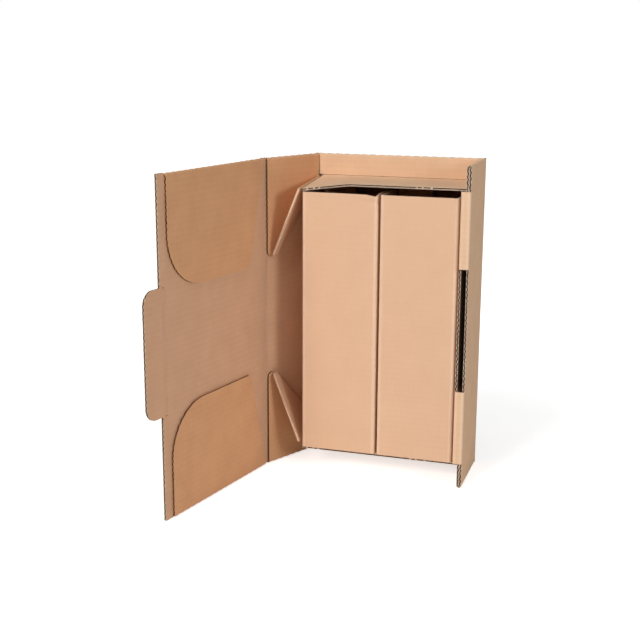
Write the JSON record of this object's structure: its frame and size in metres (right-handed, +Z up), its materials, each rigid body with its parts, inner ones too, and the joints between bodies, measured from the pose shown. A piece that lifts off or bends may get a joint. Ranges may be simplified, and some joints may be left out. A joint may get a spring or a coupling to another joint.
{
  "type": "bottle shipping box",
  "caption": "Upright corrugated carton for bottles, with a swinging side wall, a lid with a tuck tab, web corners, recessed end walls and open bottle sleeves.",
  "frame": {"origin": "middle of the back panel's bottom rim, on the surface that the carton stands on", "axes": "+X along the back panel, to the right seen from the open front; +Y to the back; +Z up"},
  "size_m": [0.3288, 0.3517, 0.42],
  "materials": {
    "kraft_board": "matt brown kraft liner",
    "sleeve_board": "matt light kraft liner"
  },
  "bodies": {
    "carton": {"carton_base": "kraft_board", "bottle_sleeve_left": "sleeve_board", "bottle_sleeve_right": "sleeve_board"},
    "side_wall": {"side_wall": "kraft_board"},
    "web_top": {"web_top": "kraft_board"},
    "web_bottom": {"web_bottom": "kraft_board"},
    "lid": {"lid": "kraft_board"},
    "tuck_tab": {"tuck_tab": "kraft_board"}
  },
  "joints": [
    {"name": "side_wall_swing", "type": "hinge", "parent": "carton", "child": "side_wall", "pos_m": [-0.114, 0.00165, 0.21], "axis": [0, 0, 1], "range_deg": [0, 25.5]},
    {"name": "web_top_fold", "type": "hinge", "parent": "side_wall", "child": "web_top", "pos_m": [-0.11177, -0.00517, 0.3893], "axis": [-0.2853, -0.5981, -0.749], "range_deg": [0, 34.98]},
    {"name": "web_bottom_fold", "type": "hinge", "parent": "side_wall", "child": "web_bottom", "pos_m": [-0.11177, -0.00517, 0.0307], "axis": [0.2853, 0.5981, -0.749], "range_deg": [0, 34.98]},
    {"name": "lid_swing", "type": "hinge", "parent": "side_wall", "child": "lid", "pos_m": [-0.15963, -0.09402, 0.21], "axis": [0, 0, 1], "range_deg": [-13.9, 76.1]},
    {"name": "tab_fold", "type": "hinge", "parent": "lid", "child": "tuck_tab", "pos_m": [-0.20449, -0.31252, 0.21], "axis": [0, 0, 1], "range_deg": [0, 90]}
  ],
  "couplings": [
    {"joint": "web_top_fold", "follows": "side_wall_swing", "ratio": 1.3696},
    {"joint": "web_bottom_fold", "follows": "side_wall_swing", "ratio": 1.3696}
  ]
}
